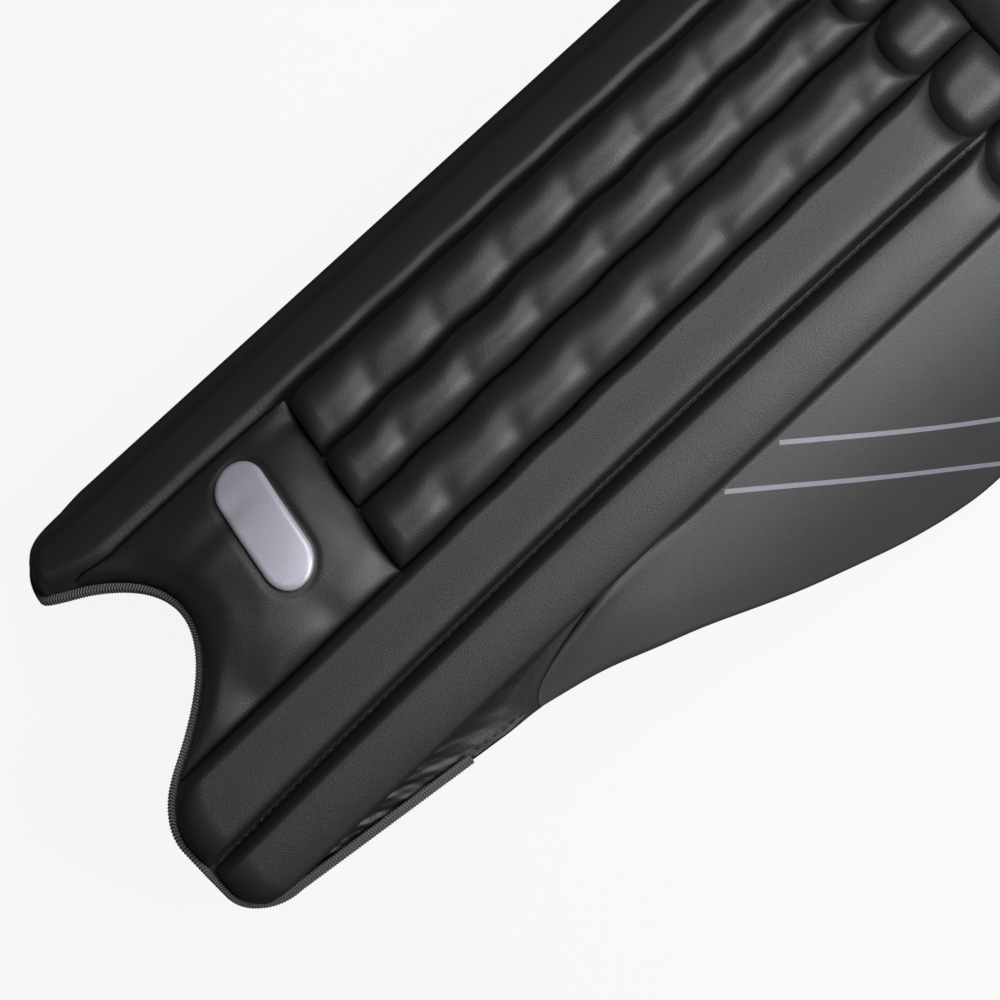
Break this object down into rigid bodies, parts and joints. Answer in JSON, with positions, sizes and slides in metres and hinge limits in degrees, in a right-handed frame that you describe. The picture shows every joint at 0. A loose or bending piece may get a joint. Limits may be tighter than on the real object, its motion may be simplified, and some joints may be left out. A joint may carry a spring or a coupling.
{
  "type": "batting pad",
  "caption": "Padded leg guard for batting, with quilted shin rolls, flat side bars, an instep cushion over an arched hem, knee bolsters, a side wing and straps behind the leg.",
  "frame": {"origin": "on the floor under the middle of the overall box, with the pad lying on its back", "axes": "+Y up the leg from the instep to the knee and top, +Z out of the shin, +X towards the outer side with the wing"},
  "size_m": [0.2456, 0.71, 0.0916],
  "materials": {
    "leather": "black coated leather with a fine grain, satin",
    "soft_leather": "soft black coated leather, satin",
    "lining": "black woven lining over foam, matt",
    "webbing": "black ribbed tape, matt",
    "badge": "silver, satin"
  },
  "bodies": {
    "root": {"backing": "lining", "inner_bar": "leather", "roll_1": "leather", "roll_2": "leather", "roll_3": "leather", "bar_1": "leather", "bar_2": "leather", "instep_panel": "soft_leather", "instep_badge": "badge", "knee_bolster_1": "leather", "knee_bolster_2": "leather", "knee_bolster_3": "leather", "top_panel": "leather", "calf_wing": "soft_leather", "side_gusset": "soft_leather", "hem_binding": "webbing", "ankle_strap": "webbing", "calf_strap": "webbing", "knee_strap": "webbing"}
  },
  "joints": []
}
